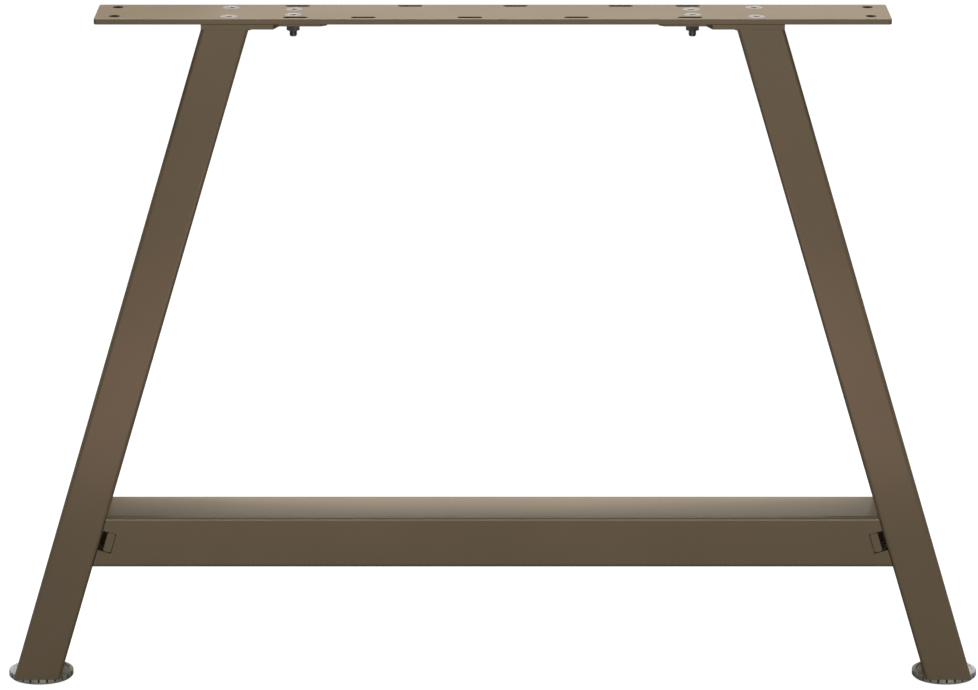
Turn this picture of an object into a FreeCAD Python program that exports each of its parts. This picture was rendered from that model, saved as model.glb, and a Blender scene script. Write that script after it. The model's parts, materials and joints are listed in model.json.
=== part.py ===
import FreeCAD, Part
import math
import os

# Steel trestle leg for a table: two leaning tubes, a crossbar and a drilled strip for the table top.
# Millimetres. The floor is Z 0, X runs along the strip and the viewer of the front stands at negative Y.

# Overall
total_height = 703.0
section_depth = 80.0

# Top strip that the table top is screwed to
strip_length = 800.0
strip_thickness = 6.0
strip_corner_radius = 3.0
strip_edge_chamfer = 0.6
end_hole_diameter = 11.0
end_hole_from_end = 20.0
end_hole_from_edge = 15.0
slot_length = 25.0
slot_width = 8.0
slot_row_from_edge = 8.0
slot_first_x = -130.0
slot_pitch = 107.0
slots_in_row = 3
corner_slot_inwards = 3.0

# Leaning tubes
lean_deg = 16.6
tube_width = 46.0
tube_wall = 2.0
tube_corner_radius = 4.0
strip_overhang = 107.3
tube_end_above_floor = 8.0

# Flange welded on the head of each tube, with a narrow tongue that reaches inwards
flange_thickness = 5.0
flange_wide_length = 72.4
flange_shoulder_length = 5.4
tongue_length = 48.0
tongue_width = 46.0
tongue_end_chamfer = 6.0

# Countersunk screws through the strip
screw_diameter = 8.0
screw_clearance = 0.5
thread_clearance = 0.05
head_diameter = 18.0
head_sink = 0.15
head_clearance = 0.15
socket_across_flats = 6.0
socket_depth = 2.6
screw_length = 22.0
leg_screw_from_outer_face = 27.7
leg_screw_from_side = 15.0
tongue_screw_from_end = 34.1
tongue_screw_from_side = 8.0

# Nuts, as distance across flats and height
nut_across_flats = 13.0
nut_height = 5.0
weld_nut_height = 6.5

# Crossbar between the tubes
bar_height = 54.0
bar_bottom = 129.5
bar_wall = 2.0
bar_corner_radius = 4.0

# Rectangular notch at each end of the crossbar and the threaded block welded into it
notch_length = 14.2
notch_height = 21.5
block_gap = 5.5
block_seat_gap = 0.5
block_end_recess = 0.8
block_edge_chamfer = 1.2

# Bolt that clamps the tube's inner wall to the block, put in through a wider hole in the outer wall
joint_bolt_diameter = 8.0
joint_bolt_length = 20.0
joint_head_diameter = 14.0
joint_head_height = 4.4
joint_head_edge = 1.4
joint_hole_clearance = 0.5
joint_access_clearance = 2.0

# Levelling feet and the plate and nut that close the tube over them
end_plate_thickness = 3.0
end_plate_clearance = 0.1
end_plate_chamfer = 1.5
foot_nut_across_flats = 16.0
foot_nut_height = 8.0
foot_stud_diameter = 10.0
foot_stud_length = 35.0
foot_stud_hole_clearance = 0.6
foot_thread_clearance = 0.1
foot_diameter = 67.0
foot_inwards = 1.5
foot_rim_height = 7.6
foot_sole_height = 1.2
foot_sole_step = 1.4
foot_hub_diameter = 26.0
foot_notch_count = 24
foot_notch_depth = 0.9
foot_socket_across_flats = 17.0
foot_socket_height = 3.0
foot_socket_clearance = 0.1
foot_head_above_floor = 0.2

# Sizes that follow from the ones above
tolerance = 0.01
half_depth = section_depth / 2
strip_bottom = total_height - strip_thickness
tube_top = strip_bottom - flange_thickness
tube_top_outer_x = strip_length / 2 - strip_overhang
tongue_end_x = tube_top_outer_x - flange_wide_length - flange_shoulder_length - tongue_length
leg_screw_x = tube_top_outer_x - leg_screw_from_outer_face
leg_screw_y = half_depth - leg_screw_from_side
tongue_screw_x = tongue_end_x + tongue_screw_from_end
tongue_screw_y = tongue_width / 2 - tongue_screw_from_side
corner_slot_x = tongue_screw_x - corner_slot_inwards
slot_row_y = half_depth - slot_row_from_edge
lean = math.radians(lean_deg)
bar_centre = bar_bottom + bar_height / 2
reach = 2 * max(total_height, strip_length)
outward = FreeCAD.Vector(math.cos(lean), 0, math.sin(lean))
along_tube = FreeCAD.Vector(-math.sin(lean), 0, math.cos(lean))
tube_axis_top = FreeCAD.Vector(tube_top_outer_x, 0, tube_top) - outward * (tube_width / 2)
tube_frame = FreeCAD.Placement(tube_axis_top, FreeCAD.Rotation(FreeCAD.Vector(0, 1, 0), -lean_deg))
tube_level_width = tube_width / math.cos(lean)
tube_end_outer_x = tube_top_outer_x + (tube_top - tube_end_above_floor) * math.tan(lean)
foot_x = tube_end_outer_x - tube_level_width / 2 - foot_inwards
notch_axis_fall = (tube_top - bar_centre) * math.sin(lean)
notch_axis_x = tube_top_outer_x + (notch_axis_fall - tube_width - notch_length / 2) / math.cos(lean)
joint_along = (FreeCAD.Vector(notch_axis_x, 0, bar_centre) - tube_axis_top).dot(along_tube)


def rounded_rectangle(width, depth, radius):
    """Wire in the XY plane, centred, with four arc corners."""
    x = width / 2
    y = depth / 2
    k = radius * (1 - math.sqrt(0.5))
    v = FreeCAD.Vector
    edges = []
    for sx, sy in ((1, 1), (-1, 1), (-1, -1), (1, -1)):
        before = v(sx * x, sy * (y - radius)) if sx == sy else v(sx * (x - radius), sy * y)
        after = v(sx * (x - radius), sy * y) if sx == sy else v(sx * x, sy * (y - radius))
        edges.append(Part.Arc(before, v(sx * (x - k), sy * (y - k)), after).toShape())
    corners = list(edges)
    for first, second in zip(corners, corners[1:] + corners[:1]):
        edges.append(Part.LineSegment(first.Vertexes[-1].Point, second.Vertexes[0].Point).toShape())
    return Part.Wire(Part.__sortEdges__(edges))


def bar_of(wire, length, start=0.0):
    """Straight prism on the XY plane from a closed wire, from Z start upwards."""
    solid = Part.Face(wire).extrude(FreeCAD.Vector(0, 0, length))
    solid.translate(FreeCAD.Vector(0, 0, start))
    return solid


def hollow_section(width, depth, radius, wall, length, start=0.0):
    """Rectangular tube with rounded corners along Z."""
    outer = bar_of(rounded_rectangle(width, depth, radius), length, start)
    inner = bar_of(rounded_rectangle(width - 2 * wall, depth - 2 * wall, radius - wall), length, start)
    return outer.cut(inner)


def box_between(low, high):
    return Part.makeBox(high[0] - low[0], high[1] - low[1], high[2] - low[2], FreeCAD.Vector(*low))


def on_tube(shape):
    """Moves a shape from the tube's own frame (X outwards, Z up the tube) to the right-hand leg."""
    moved = shape.copy()
    moved.Placement = tube_frame.multiply(moved.Placement)
    return moved


def level_slab(low, high):
    return box_between((-reach, -reach, low), (reach, reach, high))


def drill(x, y, low, high, diameter):
    return Part.makeCylinder(diameter / 2, high - low, FreeCAD.Vector(x, y, low))


def along_tube_x(shape):
    """Turns a shape built along Z so that it runs along X, outwards."""
    turned = shape.copy()
    turned.rotate(FreeCAD.Vector(0, 0, 0), FreeCAD.Vector(0, 1, 0), 90)
    return turned


def hexagon_prism(across_flats, low, high):
    """Hexagonal prism on Z with two flats facing X."""
    corner = across_flats / math.sqrt(3)
    points = []
    for i in range(7):
        angle = math.radians(60 * i + 30)
        points.append(FreeCAD.Vector(corner * math.cos(angle), corner * math.sin(angle), low))
    return Part.Face(Part.makePolygon(points)).extrude(FreeCAD.Vector(0, 0, high - low))


def revolved(points):
    """Solid turned round Z from a closed profile of (radius, height) points."""
    corners = [FreeCAD.Vector(r, 0, z) for r, z in points]
    face = Part.Face(Part.makePolygon(corners + corners[:1]))
    return face.revolve(FreeCAD.Vector(0, 0, 0), FreeCAD.Vector(0, 0, 1), 360)


def hexagon_nut(across_flats, height, bore_diameter):
    """Hexagon nut from Z 0 upwards with a plain bore."""
    return hexagon_prism(across_flats, 0, height).cut(drill(0, 0, -height, 2 * height, bore_diameter))


def countersunk_screw():
    """Countersunk socket screw hanging down from the top of its head at Z 0."""
    head = head_diameter / 2
    shank = screw_diameter / 2
    blank = revolved([(0, 0), (head, 0), (shank, shank - head), (shank, -screw_length), (0, -screw_length)])
    return blank.cut(hexagon_prism(socket_across_flats, -socket_depth, socket_depth))


def countersink(x, y):
    """Cutter for one countersunk hole through the strip, a little wider than the screw all round."""
    wide = head_diameter / 2 + head_clearance + head_sink
    narrow = screw_diameter / 2 + screw_clearance
    cutter = revolved([
        (0, strip_thickness), (wide + strip_thickness, strip_thickness), (wide, 0), (narrow, narrow - wide),
        (narrow, -2 * strip_thickness), (0, -2 * strip_thickness),
    ])
    cutter.translate(FreeCAD.Vector(x, y, total_height))
    return cutter


def leg_screw_places():
    return [(leg_screw_x, -leg_screw_y), (leg_screw_x, leg_screw_y)]


def tongue_screw_places():
    return [(tongue_screw_x, -tongue_screw_y), (tongue_screw_x, tongue_screw_y)]


def slot_cutter(x, y):
    """Cutter for one slot with round ends, along X."""
    low = strip_bottom - strip_thickness
    high = total_height + strip_thickness
    half_run = (slot_length - slot_width) / 2
    cutter = box_between((x - half_run, y - slot_width / 2, low), (x + half_run, y + slot_width / 2, high))
    for end in (x - half_run, x + half_run):
        cutter = cutter.fuse(drill(end, y, low, high, slot_width))
    return cutter.removeSplitter()


def slot_places():
    """Slot centres: a staggered row along each long edge and a slot at each side of both tongues.

    The pattern stays the same when the strip is turned half round."""
    places = []
    for i in range(slots_in_row):
        x = slot_first_x + i * slot_pitch
        places.append((x, -slot_row_y))
        places.append((-x, slot_row_y))
    for sx in (-1, 1):
        for sy in (-1, 1):
            places.append((sx * corner_slot_x, sy * slot_row_y))
    return places


def top_strip():
    outline = rounded_rectangle(strip_length, section_depth, strip_corner_radius)
    strip = bar_of(outline, strip_thickness, strip_bottom)
    rim = [edge for edge in strip.Edges if abs(edge.Vertexes[0].Z - edge.Vertexes[-1].Z) < tolerance]
    strip = strip.makeChamfer(strip_edge_chamfer, rim)
    hole_x = strip_length / 2 - end_hole_from_end
    hole_y = half_depth - end_hole_from_edge
    low = strip_bottom - strip_thickness
    high = total_height + strip_thickness
    for x in (-hole_x, hole_x):
        for y in (-hole_y, hole_y):
            strip = strip.cut(drill(x, y, low, high, end_hole_diameter))
    for x, y in slot_places():
        strip = strip.cut(slot_cutter(x, y))
    for x, y in leg_screw_places() + tongue_screw_places():
        strip = strip.cut(countersink(x, y))
        strip = strip.cut(countersink(-x, y))
    return strip


def leg_flange():
    """One cut plate: full depth over the tube, shoulders that clear the slots, and a narrow tongue."""
    outer_x = tube_top_outer_x
    shoulder_x = outer_x - flange_wide_length
    tongue_x = shoulder_x - flange_shoulder_length
    half_tongue = tongue_width / 2
    half_outline = [
        (outer_x, -half_depth), (shoulder_x, -half_depth), (tongue_x, -half_tongue),
        (tongue_end_x + tongue_end_chamfer, -half_tongue),
        (tongue_end_x, -half_tongue + tongue_end_chamfer),
    ]
    outline = half_outline + [(x, -y) for x, y in reversed(half_outline)]
    points = [FreeCAD.Vector(x, y, tube_top) for x, y in outline]
    face = Part.Face(Part.makePolygon(points + points[:1]))
    flange = face.extrude(FreeCAD.Vector(0, 0, flange_thickness))
    hole = screw_diameter + 2 * screw_clearance
    for x, y in leg_screw_places() + tongue_screw_places():
        flange = flange.cut(drill(x, y, tube_top - flange_thickness, total_height, hole))
    return flange


def joint_drill(start, diameter):
    """Cutter square to the tube and one tube width long, from a distance off the tube's axis outwards."""
    cutter = along_tube_x(Part.makeCylinder(diameter / 2, tube_width))
    cutter.translate(FreeCAD.Vector(start, 0, joint_along))
    return on_tube(cutter)


def leg_tube():
    """Rounded tube, sawn level at both ends, drilled for the joint bolt and wider for its head outside."""
    section = hollow_section(tube_width, section_depth, tube_corner_radius, tube_wall, 2 * reach, -reach)
    tube = on_tube(section).common(level_slab(tube_end_above_floor, tube_top))
    tube = tube.cut(joint_drill(-tube_width, joint_bolt_diameter + 2 * joint_hole_clearance))
    return tube.cut(joint_drill(0, joint_head_diameter + 2 * joint_access_clearance))


def beyond_tube_face():
    """Everything outwards of the tube's inner face, for sawing the crossbar to the lean of the leg."""
    return on_tube(box_between((-tube_width / 2, -reach, -2 * reach), (reach, reach, reach)))


def end_notch():
    """Rectangular notch square to the leg, through the front and back wall of the crossbar."""
    half_height = notch_height / 2
    low = (-tube_width / 2 - notch_length, -section_depth, joint_along - half_height)
    high = (0, section_depth, joint_along + half_height)
    return on_tube(box_between(low, high))


def crossbar():
    bar = hollow_section(bar_height, section_depth, bar_corner_radius, bar_wall, 2 * reach, -reach)
    bar = along_tube_x(bar)
    bar.translate(FreeCAD.Vector(0, 0, bar_centre))
    for cutter in (beyond_tube_face(), end_notch()):
        bar = bar.cut(cutter)
        bar = bar.cut(mirrored(cutter))
    return bar


def end_block():
    """Threaded bar across the crossbar's mouth; its ends show in the notches."""
    inner_x = -tube_width / 2 - notch_length + block_seat_gap
    outer_x = -tube_width / 2 - block_gap
    half_length = half_depth - block_end_recess
    half_height = notch_height / 2 - block_seat_gap
    low = (inner_x, -half_length, joint_along - half_height)
    high = (outer_x, half_length, joint_along + half_height)
    block = box_between(low, high)
    long_edges = []
    for edge in block.Edges:
        if edge.Length > 2 * half_length - block_edge_chamfer:
            long_edges.append(edge)
    block = block.makeChamfer(block_edge_chamfer, long_edges)
    bore = along_tube_x(Part.makeCylinder(joint_bolt_diameter / 2 + thread_clearance, tube_width))
    bore.translate(FreeCAD.Vector(outer_x - tube_width / 2, 0, joint_along))
    return on_tube(block.cut(bore))


def joint_bolt():
    """Low-headed socket bolt that lies square to the tube, its head inside against the inner wall."""
    head = joint_head_diameter / 2
    shank = joint_bolt_diameter / 2
    bolt = revolved([
        (0, joint_head_height), (head - joint_head_edge, joint_head_height),
        (head, joint_head_height - joint_head_edge), (head, 0),
        (shank, 0), (shank, -joint_bolt_length), (0, -joint_bolt_length),
    ])
    socket = hexagon_prism(socket_across_flats, joint_head_height - socket_depth, 2 * joint_head_height)
    bolt = along_tube_x(bolt.cut(socket))
    bolt.translate(FreeCAD.Vector(tube_wall - tube_width / 2, 0, joint_along))
    return on_tube(bolt)


def end_plate():
    """Plate let into the tube's mouth at the floor end, sawn to its lean and drilled for the stud."""
    gap = tube_wall + end_plate_clearance
    half_width = tube_width / 2 - gap
    half_length = half_depth - gap
    core = box_between((-half_width, -half_length, -2 * reach), (half_width, half_length, reach))
    long_edges = [edge for edge in core.Edges if edge.Length > reach]
    core = on_tube(core.makeChamfer(end_plate_chamfer, long_edges))
    plate = core.common(level_slab(tube_end_above_floor, tube_end_above_floor + end_plate_thickness))
    hole = foot_stud_diameter + 2 * foot_stud_hole_clearance
    return plate.cut(drill(foot_x, 0, 0, 2 * (tube_end_above_floor + end_plate_thickness), hole))


def foot_nut():
    bore = foot_stud_diameter + 2 * foot_thread_clearance
    nut = hexagon_nut(foot_nut_across_flats, foot_nut_height, bore)
    nut.translate(FreeCAD.Vector(foot_x, 0, tube_end_above_floor + end_plate_thickness))
    return nut


def notched_band():
    """Finger grip round the foot: a disc with an even row of right-angled notches in its edge."""
    rim = foot_diameter / 2
    low = foot_sole_height
    outer = rim + foot_notch_depth
    wide = 2 * foot_notch_depth
    corners = [(rim - foot_notch_depth, 0), (outer, wide), (outer, -wide), (rim - foot_notch_depth, 0)]
    outline = Part.Face(Part.makePolygon([FreeCAD.Vector(x, y, 0) for x, y in corners]))
    notch = outline.extrude(FreeCAD.Vector(0, 0, foot_rim_height))
    notches = []
    for i in range(foot_notch_count):
        turned = notch.copy()
        turned.rotate(FreeCAD.Vector(0, 0, 0), FreeCAD.Vector(0, 0, 1), 360 / foot_notch_count * i)
        notches.append(turned)
    return drill(0, 0, low, foot_rim_height, foot_diameter).cut(Part.Compound(notches))


def foot_base():
    """Disc that stands on a slightly narrower sole, with a notched band, a hub and a socket underneath."""
    hub_top = tube_end_above_floor
    disc = drill(0, 0, 0, foot_rim_height, foot_diameter - 2 * foot_sole_step)
    disc = disc.fuse(notched_band()).fuse(drill(0, 0, foot_sole_height, hub_top, foot_hub_diameter))
    disc = disc.removeSplitter()
    pocket_top = foot_socket_height + foot_socket_clearance
    pocket_width = foot_socket_across_flats + 2 * foot_socket_clearance
    disc = disc.cut(hexagon_prism(pocket_width, -pocket_top, pocket_top))
    disc = disc.cut(drill(0, 0, -hub_top, 2 * hub_top, foot_stud_diameter + 2 * foot_thread_clearance))
    disc.translate(FreeCAD.Vector(foot_x, 0, 0))
    return disc


def foot_stud():
    """Threaded stud; its hexagon head sits in the disc's underside, just clear of the floor."""
    head_top = foot_socket_height
    stem = drill(0, 0, head_top / 2, foot_stud_length, foot_stud_diameter)
    head = hexagon_prism(foot_socket_across_flats, foot_head_above_floor, head_top)
    stud = head.fuse(stem).removeSplitter()
    stud.translate(FreeCAD.Vector(foot_x, 0, 0))
    return stud


def strip_screws():
    """The four equal screws of one side, through strip and flange."""
    screws = []
    for x, y in leg_screw_places() + tongue_screw_places():
        screw = countersunk_screw()
        screw.translate(FreeCAD.Vector(x, y, total_height - head_sink))
        screws.append(screw)
    return Part.Compound(screws)


def leg_weld_nuts():
    """Nuts welded under the flange inside the tube, one for each leg screw."""
    nuts = []
    for x, y in leg_screw_places():
        nut = hexagon_nut(nut_across_flats, weld_nut_height, screw_diameter + 2 * thread_clearance)
        nut.translate(FreeCAD.Vector(x, y, tube_top - weld_nut_height))
        nuts.append(nut)
    return Part.Compound(nuts)


def tongue_nuts():
    nuts = []
    for x, y in tongue_screw_places():
        nut = hexagon_nut(nut_across_flats, nut_height, screw_diameter + 2 * thread_clearance)
        nut.translate(FreeCAD.Vector(x, y, tube_top - nut_height))
        nuts.append(nut)
    return Part.Compound(nuts)


def mirrored(shape):
    return shape.mirror(FreeCAD.Vector(0, 0, 0), FreeCAD.Vector(1, 0, 0))


def both_sides(shape):
    """A right-hand group of equal fasteners with its mirror image, as one set."""
    return Part.Compound(shape.Solids + mirrored(shape).Solids)


# Sub-parts that reach across the centre line, and the sets of equal fasteners
central = {
    "top_strip": top_strip(),
    "crossbar": crossbar(),
    "strip_screws": both_sides(strip_screws()),
    "joint_bolts": both_sides(joint_bolt()),
}

# Sub-parts of the right-hand side, which the left-hand side repeats as a mirror image
sided = {
    "leg_tube": leg_tube(),
    "leg_flange": leg_flange(),
    "leg_weld_nuts": leg_weld_nuts(),
    "tongue_nuts": tongue_nuts(),
    "crossbar_end_block": end_block(),
    "end_plate": end_plate(),
    "foot_nut": foot_nut(),
    "foot_base": foot_base(),
    "foot_stud": foot_stud(),
}

os.makedirs("parts", exist_ok=True)
shapes = dict(central)
for name, shape in sided.items():
    shapes["right_" + name] = shape
    shapes["left_" + name] = mirrored(shape)
for name, shape in shapes.items():
    shape.exportStep("parts/" + name + ".step")
    print(name, "solids", len(shape.Solids), "volume %.0f mm3" % shape.Volume, "valid", shape.isValid())
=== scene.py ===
# %% [markdown]
# # A steel trestle leg for a table
# The real object is one end of a table: two leaning rectangular tubes, a crossbar low between them, a
# drilled strip that the table top is screwed to, and a round levelling foot under each tube. The frame
# file already holds every piece at its true size and place. This script dresses it: it lights it as a
# product photograph, gives each piece its finish, and models the small turned and threaded pieces that
# a plain solid can't show.

# %% Load the fixed frame
import bpy
import json
import math
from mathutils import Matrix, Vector


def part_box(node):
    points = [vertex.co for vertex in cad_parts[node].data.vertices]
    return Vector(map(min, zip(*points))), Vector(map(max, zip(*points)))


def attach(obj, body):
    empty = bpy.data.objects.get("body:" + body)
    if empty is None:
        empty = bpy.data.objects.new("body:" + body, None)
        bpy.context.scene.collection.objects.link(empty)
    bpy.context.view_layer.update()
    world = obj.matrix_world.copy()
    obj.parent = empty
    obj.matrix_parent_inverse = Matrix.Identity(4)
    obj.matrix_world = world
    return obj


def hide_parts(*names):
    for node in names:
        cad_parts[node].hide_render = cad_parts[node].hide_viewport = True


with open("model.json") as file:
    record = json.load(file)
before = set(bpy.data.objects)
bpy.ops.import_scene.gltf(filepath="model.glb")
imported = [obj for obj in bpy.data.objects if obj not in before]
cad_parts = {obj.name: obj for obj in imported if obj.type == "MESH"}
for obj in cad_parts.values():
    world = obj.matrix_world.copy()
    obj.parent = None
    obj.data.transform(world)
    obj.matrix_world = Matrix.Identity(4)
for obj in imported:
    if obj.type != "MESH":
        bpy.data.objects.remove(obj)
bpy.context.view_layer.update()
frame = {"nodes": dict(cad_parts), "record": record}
nodes = frame["nodes"]
print("pieces in the frame:", len(nodes))

# %% [markdown]
# Everything is in metres here, but a maker thinks of such a leg in millimetres. One factor keeps the
# numbers readable. The operators act on whatever is selected, and the loaded pieces come in selected,
# so each modelling step first lets go of everything, or takes hold of one piece alone.

# %% Units and a clean selection
mm = 0.001
sides = ("left", "right")


def let_go():
    """Leaves edit mode and selects nothing."""
    if bpy.context.object and bpy.context.object.mode != "OBJECT":
        bpy.ops.object.mode_set(mode="OBJECT")
    bpy.ops.object.select_all(action="DESELECT")


def take(piece):
    """Selects one piece alone."""
    let_go()
    piece.select_set(True)
    bpy.context.view_layer.objects.active = piece


let_go()
print("one millimetre is", mm, "units")

# %% [markdown]
# ## The camera
# The photograph was taken with a long lens from a little above the crossbar's height, so the leg looks
# almost flat but the tops of the strip and the crossbar still show. The lens, the tilt and the distance
# come from fitting a pinhole camera to the edges of the tubes, the strip and the discs. A long lens
# from far away can't be replaced by a short one near by: the tops would open up too much.

# %% Camera at the photograph's viewing angle
camera_tilt = math.radians(14.25)
camera_distance = 5.065
camera_lens = 181.6
camera_target = Vector((-3.8 * mm, 0, 355.8 * mm))

camera_data = bpy.data.cameras.new("camera")
camera_data.sensor_width = 36
camera_data.lens = camera_lens
camera_data.clip_start = 0.1
camera_data.clip_end = 100
camera = bpy.data.objects.new("camera", camera_data)
bpy.context.scene.collection.objects.link(camera)
back = Vector((0, -math.cos(camera_tilt), math.sin(camera_tilt)))
camera.location = camera_target + back * camera_distance
camera.rotation_euler = (math.pi / 2 - camera_tilt, 0, 0)
bpy.context.scene.camera = camera
print("camera at", [round(v, 3) for v in camera.location])

# %% [markdown]
# ## Floor and light
# Materials, surroundings and the finishes below are all small networks of nodes. By hand one adds a
# node, sets its sockets and draws a wire; three helpers do the same and keep the networks short enough
# to read.

# %% Helpers for nodes


def wire(tree, source, target):
    """Draws a wire from an output to an input."""
    tree.links.new(source, target)


def add_node(tree, kind, values=(), **choices):
    """New node with its own choices set, and then the values of some of its sockets."""
    node = tree.nodes.new(kind)
    for choice, setting in choices.items():
        setattr(node, choice, setting)
    for socket, value in dict(values).items():
        node.inputs[socket].default_value = value
    return node


def choose(tree, factor, where_not, where_so):
    """Output of a shader mix: the first shader where the factor is 0, the second where it is 1."""
    mix = add_node(tree, "ShaderNodeMixShader")
    wire(tree, factor, mix.inputs["Fac"])
    wire(tree, where_not, mix.inputs[1])
    wire(tree, where_so, mix.inputs[2])
    return mix.outputs[0]


print("node helpers ready")

# %% [markdown]
# The photograph is a high-key studio shot: the ground is so bright that it turns plain white, yet the
# undersides of the steel stay dark. A real studio gets this with a lit floor far from the subject and
# black flags near it. Here the floor shows pale to the camera, and is dark grey to every other ray, so
# it doesn't fill the shadows. It lies ten millimetres under the soles, because the feet can be let down
# that far, and it is clear when seen from below, so that the underside of the leg can be looked at too.

# %% Pale floor
floor_half = 20.0
floor_level = -10.2 * mm
floor_glow = 0.985
floor_grey = 0.12

bpy.ops.mesh.primitive_plane_add(size=2 * floor_half, location=(0, 0, floor_level))
floor = bpy.context.object
floor.name = "studio_floor"
floor_finish = bpy.data.materials.new("studio_floor")
floor_finish.use_nodes = True
tree = floor_finish.node_tree
tree.nodes.clear()
grey_paint = add_node(tree, "ShaderNodeBsdfDiffuse", {"Color": (floor_grey, floor_grey, floor_grey, 1)})
glow = add_node(tree, "ShaderNodeEmission", {"Strength": floor_glow})
glowing_paint = add_node(tree, "ShaderNodeAddShader")
wire(tree, grey_paint.outputs[0], glowing_paint.inputs[0])
wire(tree, glow.outputs[0], glowing_paint.inputs[1])
seen_by = add_node(tree, "ShaderNodeLightPath").outputs["Is Camera Ray"]
from_above = choose(tree, seen_by, grey_paint.outputs[0], glowing_paint.outputs[0])
clear = add_node(tree, "ShaderNodeBsdfTransparent").outputs[0]
underneath = add_node(tree, "ShaderNodeNewGeometry").outputs["Backfacing"]
floor_out = add_node(tree, "ShaderNodeOutputMaterial")
wire(tree, choose(tree, underneath, from_above, clear), floor_out.inputs["Surface"])
floor.data.materials.append(floor_finish)
print("floor is", 2 * floor_half, "m wide and", round(-floor_level / mm, 1), "mm under the soles")

# %% [markdown]
# The air round the leg is almost black. Dim surroundings are what draws the dark line down each rounded
# edge of the tubes: there the steel turns away from the lamp in front and mirrors the unlit sides of
# the room. The camera sees plain white instead, as in the photograph.

# %% Dim grey surroundings
room_light = 0.03

world = bpy.data.worlds.new("studio")
bpy.context.scene.world = world
world.use_nodes = True
tree = world.node_tree
tree.nodes.clear()
room = add_node(tree, "ShaderNodeBackground", {"Color": (1.0, 0.985, 0.96, 1), "Strength": room_light})
white = add_node(tree, "ShaderNodeBackground", {"Color": (1, 1, 1, 1), "Strength": 1.0})
seen_by = add_node(tree, "ShaderNodeLightPath").outputs["Is Camera Ray"]
world_out = add_node(tree, "ShaderNodeOutputWorld")
wire(tree, choose(tree, seen_by, room.outputs[0], white.outputs[0]), world_out.inputs["Surface"])
bpy.context.scene.view_settings.view_transform = "Standard"
bpy.context.scene.view_settings.look = "None"
print("surroundings at", room_light)

# %% [markdown]
# Seven lamps do the rest. A long narrow softbox hangs overhead, a little behind the leg. It has to be
# narrow: the strip then throws a shadow with a soft edge along the middle of the crossbar's top. A
# large softbox in front lights the faces that the camera sees, and a thin one high behind lights the
# rims. Two panels behind stand for the white backdrop; they give the flat tops their pale sheen,
# because paint mirrors strongly at a low angle. Point lamps would be simpler, but they throw hard
# shadows and show in the paint as dots.
#
# A lamp can be let to light only, or to be mirrored only. The overhead softbox only lights, since its
# mirror image would burn out the tops in a view from above; a broad weak ceiling is mirrored there in
# its place. The warm panel on the floor in front is only mirrored: it comes back as the paler patch
# halfway up the tubes.

# %% Softboxes


def softbox(name, place, size_x, size_y, radiance, colour, facing, lights=True, mirrored=True):
    """Rectangular lamp; radiance is its own brightness, whatever its size."""
    lamp = bpy.data.lights.new(name, "AREA")
    lamp.shape = "RECTANGLE"
    lamp.size = size_x
    lamp.size_y = size_y
    lamp.energy = radiance * math.pi * size_x * size_y
    lamp.color = colour
    holder = bpy.data.objects.new(name, lamp)
    bpy.context.scene.collection.objects.link(holder)
    holder.location = place
    holder.rotation_euler = Vector(facing).to_track_quat("-Z", "Y").to_euler()
    holder.visible_camera = False
    holder.visible_diffuse = lights
    holder.visible_glossy = mirrored


softbox("overhead", place=(0, 0.29, 3.2), size_x=5.0, size_y=0.36, radiance=36.5,
        colour=(0.85, 0.90, 1.0), facing=(0, -0.12, -1), mirrored=False)
softbox("ceiling", place=(0, 0.6, 3.4), size_x=3.4, size_y=2.6, radiance=2.2,
        colour=(1.0, 0.98, 0.95), facing=(0, -0.1, -1), lights=False)
softbox("rim", place=(0, 1.30, 3.0), size_x=3.0, size_y=0.3, radiance=5.0,
        colour=(1.0, 0.97, 0.92), facing=(0, -0.5, -1))
softbox("front", place=(0.4, -6.0, 1.2), size_x=3.6, size_y=2.2, radiance=5.35,
        colour=(1.0, 0.94, 0.77), facing=(-0.4, 6.0, -0.9))
softbox("backdrop", place=(0.85, 3.0, 1.25), size_x=2.6, size_y=0.6, radiance=0.28,
        colour=(1.0, 0.95, 0.90), facing=(0, -1, 0))
softbox("low_backdrop", place=(0, 3.0, 0.5), size_x=3.0, size_y=0.9, radiance=1.1,
        colour=(1.0, 0.92, 0.76), facing=(0, -1, 0))
softbox("floor_panel", place=(0, -1.25, 0.012), size_x=1.1, size_y=0.95, radiance=2.0,
        colour=(1.0, 0.56, 0.46), facing=(0, 0, 1), lights=False)

# %% [markdown]
# ## Finishes
# Effects that more than one finish needs are node groups with named sockets, built once. The first is
# the speckle of a sprayed or plated surface: a fine grain and a slow drift, both read from the object's
# own coordinates so that they stay put on the steel. An image of a real surface could do it too, but
# noise has no seams and no edge.

# %% Speckle group


def new_group(name, inputs, outputs):
    """Empty shader node group with named sockets; returns the tree and its two end nodes."""
    group = bpy.data.node_groups.new(name, "ShaderNodeTree")
    for label, kind, start in inputs:
        socket = group.interface.new_socket(label, in_out="INPUT", socket_type=kind)
        if start is not None:
            socket.default_value = start
    for label, kind in outputs:
        group.interface.new_socket(label, in_out="OUTPUT", socket_type=kind)
    return group, group.nodes.new("NodeGroupInput"), group.nodes.new("NodeGroupOutput")


speckle, enter, leave = new_group(
    "speckle",
    [
        ("Vector", "NodeSocketVector", None),
        ("Grain per metre", "NodeSocketFloat", 1500.0),
        ("Drift per metre", "NodeSocketFloat", 9.0),
    ],
    [("Grain", "NodeSocketFloat"), ("Drift", "NodeSocketFloat")],
)
grain = add_node(speckle, "ShaderNodeTexNoise", {"Detail": 3, "Roughness": 0.55})
drift = add_node(speckle, "ShaderNodeTexNoise", {"Detail": 2})
for label, noise in (("Grain", grain), ("Drift", drift)):
    wire(speckle, enter.outputs["Vector"], noise.inputs["Vector"])
    wire(speckle, enter.outputs[label + " per metre"], noise.inputs["Scale"])
    wire(speckle, noise.outputs["Fac"], leave.inputs[label])
print("group:", speckle.name)

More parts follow.
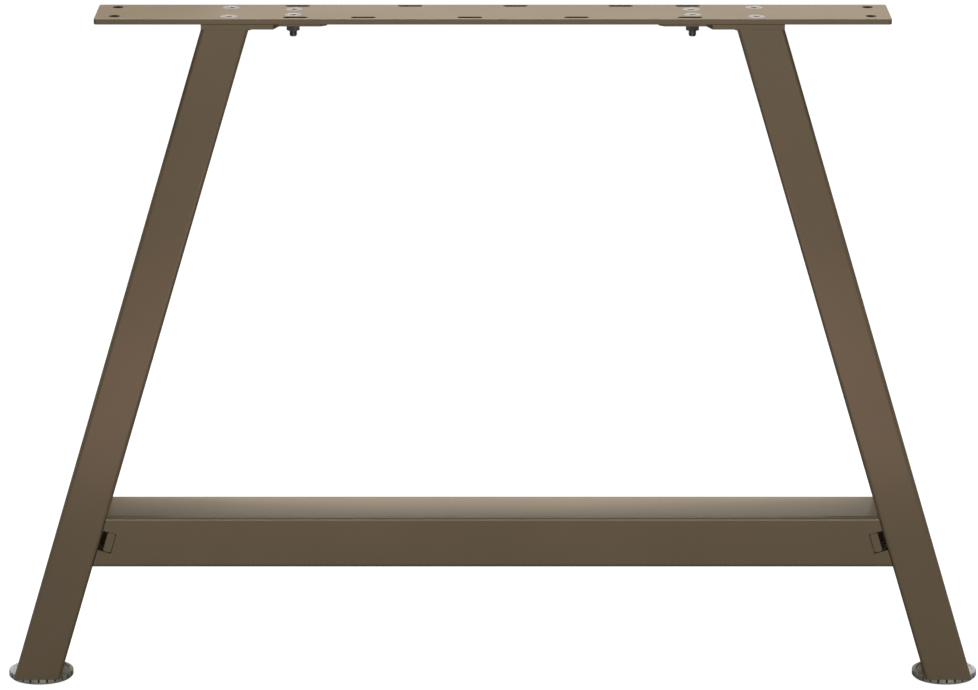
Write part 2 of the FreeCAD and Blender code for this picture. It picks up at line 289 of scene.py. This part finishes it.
# %% [markdown]
# The second is the set of rings that a lathe leaves on a turned face. A wave texture in rings round an
# upright axis gives them, stretched and disturbed a little by noise, because no cut is quite even. Real
# grooves would need thousands of faces for something that only shows in how the light breaks up.

# %% Lathe rings group
lathe, enter, leave = new_group(
    "lathe_rings",
    [("Vector", "NodeSocketVector", None), ("Rings per metre", "NodeSocketFloat", 900.0)],
    [("Rings", "NodeSocketFloat")],
)
rings = add_node(
    lathe, "ShaderNodeTexWave", {"Distortion": 1.2, "Detail": 2, "Detail Scale": 0.4},
    wave_type="RINGS", rings_direction="Z",
)
wire(lathe, enter.outputs["Vector"], rings.inputs["Vector"])
wire(lathe, enter.outputs["Rings per metre"], rings.inputs["Scale"])
wire(lathe, rings.outputs["Fac"], leave.inputs["Rings"])
print("group:", lathe.name)

# %% [markdown]
# The third is what happens at an edge. No edge on a sprayed or plated piece is sharp, and the film is
# thinner and rubbed there. Comparing the true direction of the surface with one rounded over a small
# distance tells how near an edge is; a little noise breaks the line up. Painting the edges by hand
# would give the same, one piece at a time.

# %% Edge wear group
worn_edges, enter, leave = new_group(
    "worn_edges",
    [("Vector", "NodeSocketVector", None), ("Reach", "NodeSocketFloat", 0.5 * mm)],
    [("Wear", "NodeSocketFloat"), ("Normal", "NodeSocketVector")],
)
rounded = add_node(worn_edges, "ShaderNodeBevel", samples=6)
surface = add_node(worn_edges, "ShaderNodeNewGeometry")
agreement = add_node(worn_edges, "ShaderNodeVectorMath", operation="DOT_PRODUCT")
nearness = add_node(worn_edges, "ShaderNodeMapRange", {"From Min": 0.995, "From Max": 0.80})
patches = add_node(worn_edges, "ShaderNodeTexNoise", {"Scale": 260.0, "Detail": 3})
broken = add_node(worn_edges, "ShaderNodeMath", operation="MULTIPLY")
wire(worn_edges, enter.outputs["Reach"], rounded.inputs["Radius"])
wire(worn_edges, rounded.outputs["Normal"], agreement.inputs[0])
wire(worn_edges, surface.outputs["Normal"], agreement.inputs[1])
wire(worn_edges, agreement.outputs["Value"], nearness.inputs["Value"])
wire(worn_edges, enter.outputs["Vector"], patches.inputs["Vector"])
wire(worn_edges, nearness.outputs["Result"], broken.inputs[0])
wire(worn_edges, patches.outputs["Fac"], broken.inputs[1])
wire(worn_edges, broken.outputs["Value"], leave.inputs["Wear"])
wire(worn_edges, rounded.outputs["Normal"], leave.inputs["Normal"])
print("group:", worn_edges.name)

# %% [markdown]
# A finish starts as a Principled shader with its own constants. Only what changes over the surface is
# wired: a ramp turns the drift into two close colours, a map range turns the grain into a little more
# or less shine, and the grain also lifts the surface through a bump. Worn edges are laid over the body
# colour with a mix.

# %% Helper that starts a finish


class Finish:
    """A material with a Principled shader, object coordinates and a few wiring habits."""

    def __init__(self, name, metallic, coat=0.0, coat_roughness=0.1):
        self.material = bpy.data.materials.new(name)
        self.material.use_nodes = True
        self.tree = self.material.node_tree
        self.shader = self.tree.nodes["Principled BSDF"]
        self.shader.inputs["Metallic"].default_value = metallic
        self.shader.inputs["Coat Weight"].default_value = coat
        self.shader.inputs["Coat Roughness"].default_value = coat_roughness
        self.places = add_node(self.tree, "ShaderNodeTexCoord").outputs["Object"]

    def add(self, group, **values):
        """Places a group with its own values; an underscore stands for a space in a socket's name."""
        values = {label.replace("_", " "): value for label, value in values.items()}
        node = add_node(self.tree, "ShaderNodeGroup", values, node_tree=group)
        wire(self.tree, self.places, node.inputs["Vector"])
        return node

    def ramp(self, factor, first, last, low=0.35, high=0.65):
        """Colour between first and last."""
        ramp = add_node(self.tree, "ShaderNodeValToRGB")
        for element, position, colour in zip(ramp.color_ramp.elements, (low, high), (first, last)):
            element.position = position
            element.color = (*colour, 1)
        wire(self.tree, factor, ramp.inputs["Fac"])
        return ramp.outputs["Color"]

    def over(self, body, mask, other, share):
        """Colour that is the body's own, with a share of another colour where the mask is high."""
        strength = add_node(self.tree, "ShaderNodeMath", {1: share}, operation="MULTIPLY")
        wire(self.tree, mask, strength.inputs[0])
        mix = add_node(self.tree, "ShaderNodeMix", {"B": (*other, 1)}, data_type="RGBA")
        wire(self.tree, strength.outputs["Value"], mix.inputs["Factor"])
        wire(self.tree, body, mix.inputs["A"])
        return mix.outputs["Result"]

    def colour(self, body):
        """Base colour of the finish."""
        wire(self.tree, body, self.shader.inputs["Base Color"])

    def shine(self, factor, smooth, rough):
        """Roughness between two values."""
        limits = {"From Min": 0.3, "From Max": 0.7, "To Min": smooth, "To Max": rough}
        span = add_node(self.tree, "ShaderNodeMapRange", limits)
        wire(self.tree, factor, span.inputs["Value"])
        wire(self.tree, span.outputs["Result"], self.shader.inputs["Roughness"])

    def relief(self, height, depth, strength, normal):
        """Bump of a depth in metres, on top of a rounded normal."""
        bump = add_node(self.tree, "ShaderNodeBump", {"Distance": depth, "Strength": strength})
        wire(self.tree, height, bump.inputs["Height"])
        wire(self.tree, normal, bump.inputs["Normal"])
        wire(self.tree, bump.outputs["Normal"], self.shader.inputs["Normal"])


print("finish helper ready")

# %% [markdown]
# ### Powder coat
# The steel is sprayed with a taupe powder and baked. The film is smooth to the touch but not flat: it
# has a fine orange peel that breaks up what it mirrors, and its colour drifts by a hair from one
# stretch to the next. The colour is warm and low in shine, and a thin clear surface over it gives the
# soft mirror image of the floor. With one even colour and shine the steel would look like plastic.

# %% Powder coat


def powder_coat(name, wall_shade=None):
    """The sprayed finish; the optional group's mask picks the faces that are given painted shade."""
    coat = Finish(name, metallic=0.0, coat=0.75, coat_roughness=0.2)
    coat.shader.inputs["Specular IOR Level"].default_value = 0.55
    dust = coat.add(speckle, Grain_per_metre=1400.0, Drift_per_metre=7.0)
    edges = coat.add(worn_edges, Reach=0.7 * mm)
    body = coat.ramp(dust.outputs["Drift"], first=(0.186, 0.137, 0.081), last=(0.202, 0.149, 0.088))
    body = coat.over(body, edges.outputs["Wear"], other=(0.27, 0.215, 0.155), share=0.3)
    # painted shade: a near-black colour laid over the coat on the faces that the mask picks
    if wall_shade:
        body = coat.over(body, coat.add(wall_shade).outputs["Painted shade"], other=(0.022, 0.017, 0.012), share=0.92)
    coat.colour(body)
    coat.shine(dust.outputs["Grain"], smooth=0.56, rough=0.70)
    coat.relief(dust.outputs["Grain"], 0.012 * mm, 0.35, edges.outputs["Normal"])
    return coat.material


coated = powder_coat("powder_coat")
print("finish:", coated.name)

# %% [markdown]
# The walls of the strip's slots and holes are painted almost black. This is painted shade, for the shade
# that falls inside these narrow recesses. Those walls are found from the surface itself: they stand
# upright, and they lie inside the strip's outline. The same could be done by giving those faces a second
# material, but a loaded piece keeps its mesh as it is.

# %% Powder coat of the drilled strip
outline_margin = 1.0 * mm
upright_margin = 0.5
strip_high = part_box("top_strip")[1]
# group of the painted shade on the strip's slot and hole walls: upright faces inside its outline
hole_wall_shade, enter, leave = new_group(
    "hole_wall_shade", [("Vector", "NodeSocketVector", None)], [("Painted shade", "NodeSocketFloat")]
)


def near_zero(socket, margin):
    """1 where the socket's value is within a margin of zero, else 0."""
    node = add_node(hole_wall_shade, "ShaderNodeMath", {1: 0.0, 2: margin}, operation="COMPARE")
    wire(hole_wall_shade, socket, node.inputs[0])
    return node.outputs["Value"]


def both(first, second):
    """1 where both values are 1."""
    node = add_node(hole_wall_shade, "ShaderNodeMath", operation="MULTIPLY")
    wire(hole_wall_shade, first, node.inputs[0])
    wire(hole_wall_shade, second, node.inputs[1])
    return node.outputs["Value"]


place = add_node(hole_wall_shade, "ShaderNodeSeparateXYZ")
facing = add_node(hole_wall_shade, "ShaderNodeSeparateXYZ")
surface = add_node(hole_wall_shade, "ShaderNodeNewGeometry")
wire(hole_wall_shade, enter.outputs["Vector"], place.inputs["Vector"])
wire(hole_wall_shade, surface.outputs["True Normal"], facing.inputs["Vector"])
inside_length = near_zero(place.outputs["X"], strip_high.x - outline_margin)
inside_depth = near_zero(place.outputs["Y"], strip_high.y - outline_margin)
upright = near_zero(facing.outputs["Z"], upright_margin)
wire(hole_wall_shade, both(both(inside_length, inside_depth), upright), leave.inputs["Painted shade"])
coated_strip = powder_coat("powder_coat_strip", hole_wall_shade)
print("finish:", coated_strip.name)

# %% [markdown]
# ### Zinc, black oxide and painted shade
# The screws and studs are plated with zinc, which is pale, warm and a little blotchy. The nuts under
# the tongues are blackened and dipped in oil. The same black is painted shade on the bolts inside the
# tubes and in the screws' sockets, and a dark steel is painted shade on the threads and in the feet's
# notches. All three are one recipe with its own values.

# %% Finishes of the fasteners


def hardware(name, metal, texture, reach, body, worn, share, shine, depth, strength):
    """Material of a fastener, from its metal and coat to its shine and relief."""
    finish = Finish(name, *metal)
    grain_per_metre, drift_per_metre = texture
    spots = finish.add(speckle, Grain_per_metre=grain_per_metre, Drift_per_metre=drift_per_metre)
    edges = finish.add(worn_edges, Reach=reach)
    plain = finish.ramp(spots.outputs["Drift"], *body)
    finish.colour(finish.over(plain, edges.outputs["Wear"], worn, share))
    finish.shine(spots.outputs["Grain"], *shine)
    finish.relief(spots.outputs["Grain"], depth, strength, edges.outputs["Normal"])
    return finish.material


zinc = hardware(
    "zinc_plate", metal=(0.55,), texture=(2600.0, 160.0), reach=0.25 * mm,
    body=((0.48, 0.44, 0.395), (0.61, 0.56, 0.50)), worn=(0.78, 0.73, 0.66), share=0.6,
    shine=(0.22, 0.42), depth=0.008 * mm, strength=0.4,
)
# blackened steel of the nuts, also used as painted shade on the hidden bolts and in the sockets
black = hardware(
    "black_oxide_and_painted_shade", metal=(0.5, 0.25, 0.25), texture=(2200.0, 120.0), reach=0.3 * mm,
    body=((0.13, 0.133, 0.137), (0.22, 0.223, 0.23)), worn=(0.30, 0.30, 0.32), share=0.5,
    shine=(0.30, 0.55), depth=0.01 * mm, strength=0.5,
)
# painted shade: a dark steel laid on the screws' threads and the feet's notches, where shade falls
shade_steel = hardware(
    "painted_shade_steel", metal=(0.6, 0.3, 0.2), texture=(2400.0, 200.0), reach=0.15 * mm,
    body=((0.105, 0.108, 0.115), (0.20, 0.20, 0.21)), worn=(0.42, 0.42, 0.43), share=0.5,
    shine=(0.28, 0.5), depth=0.008 * mm, strength=0.4,
)
print("finishes:", zinc.name, black.name, shade_steel.name)

# %% [markdown]
# ### Turned steel
# The feet are turned from steel bar, so their faces carry rings round each foot's own axis. The rings
# group turns round the origin, so a mapping node moves the coordinates to the foot, once for each foot.

# %% Finish of the turned feet


def turned_steel(name, axis_x):
    """Turned and plated steel, its rings centred on one foot."""
    finish = Finish(name, metallic=0.35)
    centre = add_node(finish.tree, "ShaderNodeMapping", {"Location": (-axis_x, 0, 0)})
    wire(finish.tree, finish.places, centre.inputs["Vector"])
    finish.places = centre.outputs["Vector"]
    spots = finish.add(speckle, Grain_per_metre=1800.0, Drift_per_metre=70.0)
    cuts = finish.add(lathe, Rings_per_metre=330.0)
    edges = finish.add(worn_edges, Reach=0.35 * mm)
    body = finish.ramp(spots.outputs["Drift"], first=(0.43, 0.43, 0.425), last=(0.60, 0.60, 0.59))
    finish.colour(finish.over(body, edges.outputs["Wear"], other=(0.85, 0.85, 0.83), share=0.6))
    finish.shine(spots.outputs["Grain"], smooth=0.30, rough=0.46)
    finish.relief(cuts.outputs["Rings"], 0.02 * mm, 0.6, edges.outputs["Normal"])
    return finish.material


def middle_x(node):
    """Middle of a node along the strip."""
    low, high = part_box(node)
    return (low.x + high.x) / 2


foot_finish = {}
for side in sides:
    foot_finish[side] = turned_steel("turned_steel_" + side, middle_x(side + "_foot_base"))
print("finishes:", [m.name for m in foot_finish.values()])

# %% [markdown]
# Each loaded piece keeps its mesh, and only its material slots change. Most follow the material slot
# that the record gives them. The strip and the feet have a finish of their own, and the bolts inside the
# tubes are painted black, as painted shade where they show in the crossbar's notch.

# %% Dress the loaded pieces
dress = {"powder_coat": coated, "zinc_hardware": zinc, "black_hardware": black}
# the bolts inside the tubes get the black as painted shade
own_finish = {"joint_bolts": black, "top_strip": coated_strip}
slot_of = {row["node"]: row["material_slot"] for row in frame["record"]["subparts"]}


def paint(piece, material):
    """Gives a piece one material."""
    piece.data.materials.clear()
    piece.data.materials.append(material)


for name, piece in nodes.items():
    if name in own_finish:
        paint(piece, own_finish[name])
    elif slot_of[name] == "foot_metal":
        paint(piece, foot_finish[name.split("_")[0]])
    else:
        paint(piece, dress[slot_of[name]])
print("dressed", len(nodes), "pieces")

# %% [markdown]
# ## Turned and threaded pieces
# The frame's screws, studs and nuts are plain, because threads and rounded edges would cost the solids
# too many faces. Here they get both. Almost everything is turned on a lathe, so one helper does most of
# the work: it starts with a filled circle and extrudes it step by step, resizing each new ring, as one
# would by hand.

# %% Turning helper
turned_corners = 64


def start_edit(piece, kind="VERT"):
    """Opens one piece in edit mode, selecting by corner or by face."""
    take(piece)
    bpy.ops.object.mode_set(mode="EDIT")
    bpy.ops.mesh.select_mode(type=kind)


def turned(name, profile, around=turned_corners, centre=(0, 0)):
    """Turned solid round an upright axis from (radius, height) steps in mm, the lowest ring first."""
    let_go()
    x, y = centre
    radius, height = profile[0]
    bpy.ops.mesh.primitive_circle_add(
        vertices=around, radius=radius * mm, fill_type="NGON", location=(x, y, height * mm)
    )
    piece = bpy.context.object
    piece.name = name
    start_edit(piece, "FACE")
    bpy.ops.mesh.select_all(action="SELECT")
    for new_radius, new_height in profile[1:]:
        rise = (0, 0, (new_height - height) * mm)
        bpy.ops.mesh.extrude_region_move(TRANSFORM_OT_translate={"value": rise})
        factor = new_radius / radius
        middle = (x, y, new_height * mm)
        bpy.ops.transform.resize(value=(factor, factor, 1), center_override=middle)
        radius, height = new_radius, new_height
    bpy.ops.mesh.select_all(action="SELECT")
    bpy.ops.mesh.normals_make_consistent(inside=False)
    let_go()
    return piece


print("turning helper ready")

# %% [markdown]
# Sockets, bores and chamfers are cut with a tool, as in the workshop: a second piece has the shape of
# what goes away, and a Boolean modifier takes it out. Spanner flats start from a six-sided bar. It
# could be turned with six corners, but a bar from the menu has its flats where they are wanted.

# %% Cutting helper and six-sided bar


def cut(piece, tool, operation="DIFFERENCE"):
    """Cuts one piece with another through an applied modifier, and removes the tool."""
    take(piece)
    step = piece.modifiers.new("cut", "BOOLEAN")
    step.operation = operation
    step.solver = "EXACT"
    step.object = tool
    bpy.ops.object.modifier_apply(modifier="cut")
    let_go()
    tool.select_set(True)
    bpy.ops.object.delete()


def corner_radius(across_flats):
    """Radius of a hexagon's corners."""
    return across_flats / math.sqrt(3)


def hexagon(name, across_flats, low, high, centre=(0, 0)):
    """Six-sided bar with two flats facing along the strip, sizes in mm."""
    let_go()
    bpy.ops.mesh.primitive_cylinder_add(
        vertices=6, radius=corner_radius(across_flats) * mm, depth=(high - low) * mm,
        location=(*centre, (low + high) / 2 * mm),
    )
    bpy.context.object.name = name
    return bpy.context.object


print("cutting helper ready")

# %% [markdown]
# What repeats is modelled once and copied, each copy with its own mesh. The parts of a piece are
# joined, and its place is applied, so that its origin is the frame's. It then gets its finish, rides on
# its body and takes the place of the plain piece. A second finish may cover some of its faces.

# %% Joining, copying and handing over
smooth_below = math.radians(32)


def gather(name, parts):
    """Joins parts into one object whose origin is the frame's."""
    let_go()
    for part in parts:
        part.select_set(True)
    bpy.context.view_layer.objects.active = parts[0]
    if len(parts) > 1:
        bpy.ops.object.join()
    bpy.ops.object.transform_apply(location=True, rotation=True, scale=True)
    whole = bpy.context.object
    whole.name = name
    whole.data.name = name
    bpy.ops.object.shade_smooth_by_angle(angle=smooth_below)
    let_go()
    return whole


def copies(model, places):
    """Copies of one modelled piece, moved to places in metres; the model is the first."""
    made = [model]
    for _ in places[1:]:
        take(model)
        bpy.ops.object.duplicate(linked=False)
        made.append(bpy.context.object)
    for piece, place in zip(made, places):
        take(piece)
        bpy.ops.transform.translate(value=place)
    return made


def ready(piece, material, body, slot, *stands_for):
    """Paints a finished piece, lets it ride its body and hides the plain ones it stands for."""
    paint(piece, material)
    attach(piece, body)
    if stands_for:
        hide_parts(*stands_for)
    print(piece.name, "faces:", len(piece.data.polygons))


def second_finish(piece, material, belongs):
    """Adds a finish to a piece, for the faces that belong to it."""
    piece.data.materials.append(material)
    for face in piece.data.polygons:
        if belongs(face):
            face.material_index = len(piece.data.materials) - 1


print("pieces are smooth below", round(math.degrees(smooth_below)), "degrees")

# %% [markdown]
# ### A thread
# A thread is a small ridge that climbs round the shank. The ridge's cross-section is a narrow
# trapezium: a plane set upright beside the axis, its outer edge drawn together. The Screw modifier
# sweeps it up the helix, and its two open ends are then filled. Rings in a bump would be cheaper, but a
# thread is known by its outline against the light.

# %% Thread helper
ridge_foot = 0.86
ridge_crest = 0.16
ridge_sunk = 0.1
steps_in_turn = 30


def thread(name, crest, root, pitch, low, high):
    """Thread ridge round the world's upright axis, sizes in mm."""
    let_go()
    inner = root - ridge_sunk
    middle = (crest + inner) / 2
    start = (low + pitch / 2) * mm
    bpy.ops.mesh.primitive_plane_add(size=1, location=(middle * mm, 0, start), rotation=(math.pi / 2, 0, 0))
    ridge = bpy.context.object
    ridge.name = name
    ridge.scale = ((crest - inner) * mm, ridge_foot * pitch * mm, 1)
    bpy.ops.object.transform_apply(location=True, rotation=True, scale=True)
    start_edit(ridge)
    bpy.ops.mesh.select_all(action="DESELECT")
    bpy.ops.object.mode_set(mode="OBJECT")
    for corner in ridge.data.vertices:
        corner.select = corner.co.x > middle * mm
    bpy.ops.object.mode_set(mode="EDIT")
    bpy.ops.transform.resize(value=(1, 1, ridge_crest), center_override=(crest * mm, 0, start))
    take(ridge)
    sweep = ridge.modifiers.new("sweep", "SCREW")
    sweep.axis = "Z"
    sweep.steps = steps_in_turn
    sweep.render_steps = steps_in_turn
    sweep.screw_offset = pitch * mm
    sweep.iterations = int((high - low) / pitch - 1)
    sweep.use_merge_vertices = False
    bpy.ops.object.modifier_apply(modifier="sweep")
    start_edit(ridge)
    bpy.ops.mesh.select_all(action="SELECT")
    bpy.ops.mesh.remove_doubles(threshold=0.001 * mm)
    bpy.ops.mesh.fill_holes(sides=4)
    bpy.ops.mesh.select_all(action="SELECT")
    bpy.ops.mesh.normals_make_consistent(inside=False)
    let_go()
    return ridge


print("a thread has", steps_in_turn, "steps in a turn")

# %% [markdown]
# ### Strip screws
# Eight equal M8 screws hold the strip to the flanges. The head is a flat disc with a short straight
# edge, then a cone. It has a six-sided socket with a small bevel round its mouth. One screw is modelled
# on the axis, with the top of its head at height 0.

# %% One strip screw
bore_corners = 48
screw_head, screw_shank, screw_root = 8.95, 4.0, 3.38
screw_tip = -22.0
screw_pitch = 1.25
thread_from = -6.0
socket_flats, socket_depth = 6.0, 3.4

blank = turned(
    "screw_blank",
    [
        (2.7, screw_tip), (screw_root, screw_tip + 0.7), (screw_root, thread_from - 0.2),
        (screw_shank, thread_from + 0.5), (screw_shank, -screw_head + screw_shank),
        (screw_head, -0.45), (screw_head, -0.14), (screw_head - 0.14, 0),
    ],
)
cut(blank, hexagon("socket", socket_flats, -socket_depth, 1.0))
cut(blank, turned("socket_mouth", [(3.0, -0.5), (3.9, 0.4)], bore_corners))
ridge = thread("screw_thread", screw_shank - 0.02, screw_root, screw_pitch, screw_tip + 0.5, thread_from)
screw = gather("screw", [blank, ridge])
print("one screw has", len(screw.data.polygons), "faces")

# %% [markdown]
# The places of the eight screws come from the boxes of the plain screws and nuts: the outer four lie at
# the corners of the screws' box, one head's radius inwards, and the inner four lie over the nuts under
# the tongues.

# %% Eight screws in their holes
cad_head = 9.0
nut_flats = 13.0

screws_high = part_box("strip_screws")[1]
nuts_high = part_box("right_tongue_nuts")[1]
outer_x, outer_y = screws_high.x - cad_head * mm, screws_high.y - cad_head * mm
inner_x = middle_x("right_tongue_nuts")
inner_y = nuts_high.y - corner_radius(nut_flats) * mm
head_top = screws_high.z
screw_places = []
for side in (-1, 1):
    for end in (-1, 1):
        screw_places.append((side * outer_x, end * outer_y, head_top))
        screw_places.append((side * inner_x, end * inner_y, head_top))
all_screws = gather("strip_screws_threaded", copies(screw, screw_places))
ready(all_screws, zinc, "root", "zinc_hardware", "strip_screws")

# %% [markdown]
# The plating shows on the heads. The threads get a dark steel and the sockets black, both as painted
# shade for the shade that falls there. Both are picked out by where their faces lie.

# %% Dark threads and sockets
socket_reach = 3.6
mouth_depth = 0.3


def on_thread(face):
    """Whether a face of the set lies below the plain part of a shank."""
    return face.center.z < head_top + thread_from * mm


def in_socket(face):
    """Whether a face of the set lies in a screw's socket, below its bevelled mouth."""
    near = min((face.center.xy - Vector(place).xy).length for place in screw_places)
    below = (head_top - face.center.z) / mm
    return near < socket_reach * mm and mouth_depth < below < socket_reach


# painted shade on the threads
second_finish(all_screws, shade_steel, on_thread)
# painted shade in the sockets
second_finish(all_screws, black, in_socket)
print("finishes of the screws:", [m.name for m in all_screws.data.materials])

# %% [markdown]
# ### Tongue nuts
# A nut starts as a six-sided bar. Its corners are turned away by a cone at each end, which leaves the
# curved edges that every nut has. That is the common part of the bar and a turned disc with bevelled
# rims. A bevel on the bar's own edges would leave straight facets instead of those curves.

# %% Tongue nuts
rim_corners = 72
nut_bore = 4.02
rim_share = 0.95
rim_slope = math.radians(30)


def chamfered_nut(name, across_flats, height, bore):
    """Hexagon nut that stands on height 0, sizes in mm."""
    body = hexagon(name, across_flats, 0, height)
    rim, corner = rim_share * across_flats / 2, corner_radius(across_flats)
    fall = (corner - rim) * math.tan(rim_slope)
    wide = corner + 0.02
    rims = [(rim, -0.001), (wide, fall), (wide, height - fall), (rim, height + 0.001)]
    cut(body, turned("rims", rims, rim_corners), "INTERSECT")
    cut(body, turned("bore", [(bore, -1.0), (bore, height + 1.0)], bore_corners))
    cut(body, turned("mouth", [(bore + 0.85, -0.3), (bore - 0.2, 0.55)], bore_corners))
    return body


for side in sides:
    low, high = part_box(side + "_tongue_nuts")
    nut = gather("nut", [chamfered_nut("nut", nut_flats, 1000 * (high.z - low.z), nut_bore)])
    places = [(middle_x(side + "_tongue_nuts"), end * inner_y, low.z) for end in (-1, 1)]
    pair = gather(side + "_tongue_nuts_chamfered", copies(nut, places))
    ready(pair, black, "root", "black_hardware", side + "_tongue_nuts")

# %% [markdown]
# ### Levelling feet
# Each foot is a thick steel disc with finger notches round its band and a slightly narrower sole. The
# notches are made the simple way: the disc is turned with a fine circle, every eighth corner of the
# band is selected by its angle, and all of them are drawn towards the axis at once. The top is turned a
# little deeper inside its rim.

# %% Foot disc helper
notches_round = 24
corners_round = notches_round * 8
notch_depth = 1.6
notch_floor, notch_lip = 1.5, 0.4
band_low, band_high = 1.9, 6.7


def foot_profile(rim, hub_top):
    """Steps of the disc from its sole to its hub, in mm."""
    sole = [(rim - 1.9, 0), (rim - 1.5, 0.35), (rim - 1.5, 1.2), (rim - 0.5, 1.25)]
    band = [(rim, band_low), (rim, band_high), (rim - 0.35, 7.25), (rim - 0.95, 7.55)]
    top = [(rim - 4.2, 7.6), (rim - 5.0, 6.9), (13.9, 6.9)]
    hub = [(13.1, 7.5), (13.0, 7.8), (12.7, hub_top)]
    return sole + band + top + hub


def draw_notches(disc, x, rim):
    """Draws every eighth corner of the band inwards."""
    start_edit(disc)
    bpy.ops.mesh.select_all(action="DESELECT")
    bpy.ops.object.mode_set(mode="OBJECT")
    for corner in disc.data.vertices:
        place = disc.matrix_world @ corner.co - Vector((x, 0, 0))
        on_band = abs(place.xy.length - rim * mm) < 0.05 * mm
        turn = math.degrees(math.atan2(place.y, place.x)) / (360 / notches_round)
        corner.select = on_band and abs(turn - round(turn)) < 0.02
    bpy.ops.object.mode_set(mode="EDIT")
    draw_in = (rim - notch_depth) / rim
    bpy.ops.transform.resize(value=(draw_in, draw_in, 1), center_override=(x, 0, 0))
    let_go()


print("a foot has", notches_round, "notches")

# %% [markdown]
# Underneath, a six-sided pocket holds the stud's head, and the stud goes up through a plain hole. The
# notches are given a dark steel as painted shade, for the shade that falls in them.

# %% Foot discs
stud_flats, head_top_mm = 17.0, 3.0
pocket_play = 0.1
stud_hole = 5.1


def foot_disc(side):
    """One foot's disc, with its notches, its pocket and its hole."""
    low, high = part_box(side + "_foot_base")
    x, rim, hub_top = middle_x(side + "_foot_base"), 1000 * (high.x - low.x) / 2, 1000 * high.z
    disc = turned(side + "_foot_disc", foot_profile(rim, hub_top), corners_round, (x, 0))
    draw_notches(disc, x, rim)
    pocket = hexagon("pocket", stud_flats + 2 * pocket_play, -1.0, head_top_mm + pocket_play, (x, 0))
    cut(disc, pocket)
    hole = turned("stud_hole", [(stud_hole, -1.0), (stud_hole, hub_top + 1)], bore_corners, (x, 0))
    cut(disc, hole)
    return gather(side + "_foot_notched", [disc])


def in_notch(face, axis, rim):
    """Whether a face lies on the band, but inside its rim."""
    inwards = (rim - (face.center.xy - axis).length) / mm
    return band_low < face.center.z / mm < band_high and notch_lip < inwards < notch_floor


for side in sides:
    low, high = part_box(side + "_foot_base")
    axis, rim = Vector((middle_x(side + "_foot_base"), 0)), (high.x - low.x) / 2
    disc = foot_disc(side)
    ready(disc, foot_finish[side], side + "_foot", "foot_metal", side + "_foot_base")
    # painted shade in the notches
    second_finish(disc, shade_steel, lambda face: in_notch(face, axis, rim))

# %% [markdown]
# ### Foot studs
# The stud is an M10 thread with a six-sided head that lies in the disc's pocket. Turned all the way in,
# none of the thread shows; with the foot let down, ten millimetres of it do. It is made as the screws
# are, from a turned core, a head and a swept ridge, joined on the axis and then moved over to the foot.

# %% Foot studs
stud_crest, stud_root, stud_pitch = 4.98, 4.2, 1.5
head_bottom_mm = 0.2


def foot_stud(side):
    """One foot's stud, modelled on the upright axis and moved to its foot."""
    top = 1000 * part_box(side + "_foot_stud")[1].z
    steps = [(stud_root, 2.0), (stud_root, top - 0.8), (stud_root - 0.7, top)]
    core = turned(side + "_stud_core", steps, bore_corners)
    head = hexagon(side + "_stud_head", stud_flats, head_bottom_mm, head_top_mm)
    head_rim = turned("head_rim", [(8.1, 0.19), (9.9, 1.1), (9.9, 3.01)], rim_corners)
    cut(head, head_rim, "INTERSECT")
    ridge = thread(side + "_stud_thread", stud_crest, stud_root, stud_pitch, head_top_mm - 0.1, top - 0.2)
    stud = gather(side + "_foot_stud_threaded", [core, head, ridge])
    return gather(stud.name, copies(stud, [(middle_x(side + "_foot_stud"), 0, 0)]))


for side in sides:
    stud = foot_stud(side)
    ready(stud, zinc, side + "_foot", slot_of[side + "_foot_stud"], side + "_foot_stud")

# %% [markdown]
# ### Weld beads
# The flange is welded to the tube from below, on the inner side, where it doesn't show from the front.
# A hand-laid bead is a row of overlapping pools of metal, so it is turned as a thin bar whose radius
# swells and shrinks along its length, then laid along the corner and sprayed with everything else. A
# plain round bar would do from afar, but not in a view from below.

# %% Weld beads under the flanges
leg_lean = math.radians(16.6)
tube_width = 46.0
bead_length, bead_size, bead_pool = 66.0, 2.6, 1.6
bead_corners = 14
bead_outwards, bead_upwards = 0.2, 0.3


def weld_bead(name, length, size, pool):
    """Rippled bar of the given length along its own axis, sizes in mm."""
    count = int(length / pool)
    profile = [(0.3 * size, -length / 2), (0.8 * size, -length / 2 + 0.4)]
    for i in range(count):
        start = -length / 2 + 0.6 + i * (length - 1.2) / count
        profile.append((0.90 * size, start))
        profile.append((1.00 * size, start + 0.35 * pool))
        profile.append((0.97 * size, start + 0.70 * pool))
    profile += [(0.8 * size, length / 2 - 0.4), (0.3 * size, length / 2)]
    return turned(name, profile, bead_corners)


for side, turn in zip(sides, (-1, 1)):
    flange_low, flange_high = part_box(side + "_leg_flange")
    outer_top = max(abs(flange_low.x), abs(flange_high.x))
    corner_x = turn * (outer_top - tube_width * mm / math.cos(leg_lean))
    bead = weld_bead(side + "_bead", bead_length, bead_size, bead_pool)
    take(bead)
    bpy.ops.transform.rotate(value=math.pi / 2, orient_axis="X", center_override=(0, 0, 0))
    bead_x, bead_z = corner_x - turn * bead_outwards * mm, flange_low.z + bead_upwards * mm
    bpy.ops.transform.translate(value=(bead_x, 0, bead_z))
    ready(gather(side + "_flange_weld", [bead]), coated, "root", "powder_coat")
